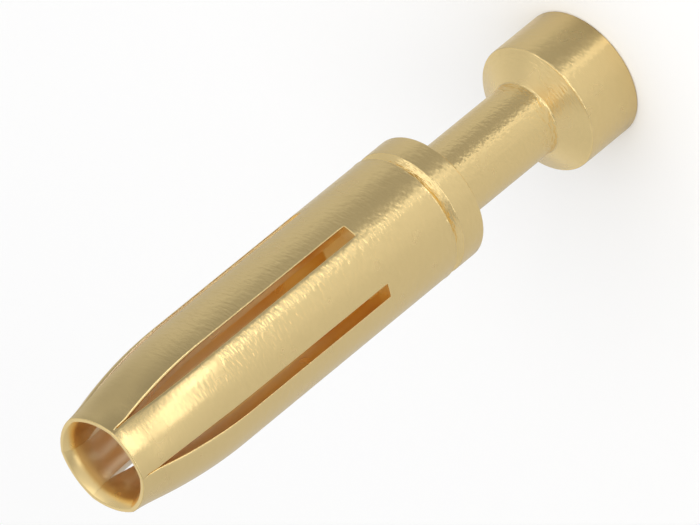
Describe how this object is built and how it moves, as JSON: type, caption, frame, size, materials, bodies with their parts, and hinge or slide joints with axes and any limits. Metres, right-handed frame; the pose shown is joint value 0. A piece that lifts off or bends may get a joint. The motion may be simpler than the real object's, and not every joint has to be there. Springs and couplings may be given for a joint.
{
  "type": "crimp socket contact",
  "caption": "Turned female crimp contact with slotted spring tines closed in at the mouth, a ring groove, a slim crimp neck and a plain rear flange.",
  "frame": {"origin": "centre of the rear face of the flange, where the wire enters; the contact stands on that face", "axes": "+Z along the axis towards the mouth of the socket; +X through the middle of one slot"},
  "size_m": [0.004, 0.004, 0.0204],
  "materials": {
    "gold_plate": "turned and gold plated, satin with fine ring marks"
  },
  "bodies": {
    "root": {"contact": "gold_plate"}
  },
  "joints": []
}
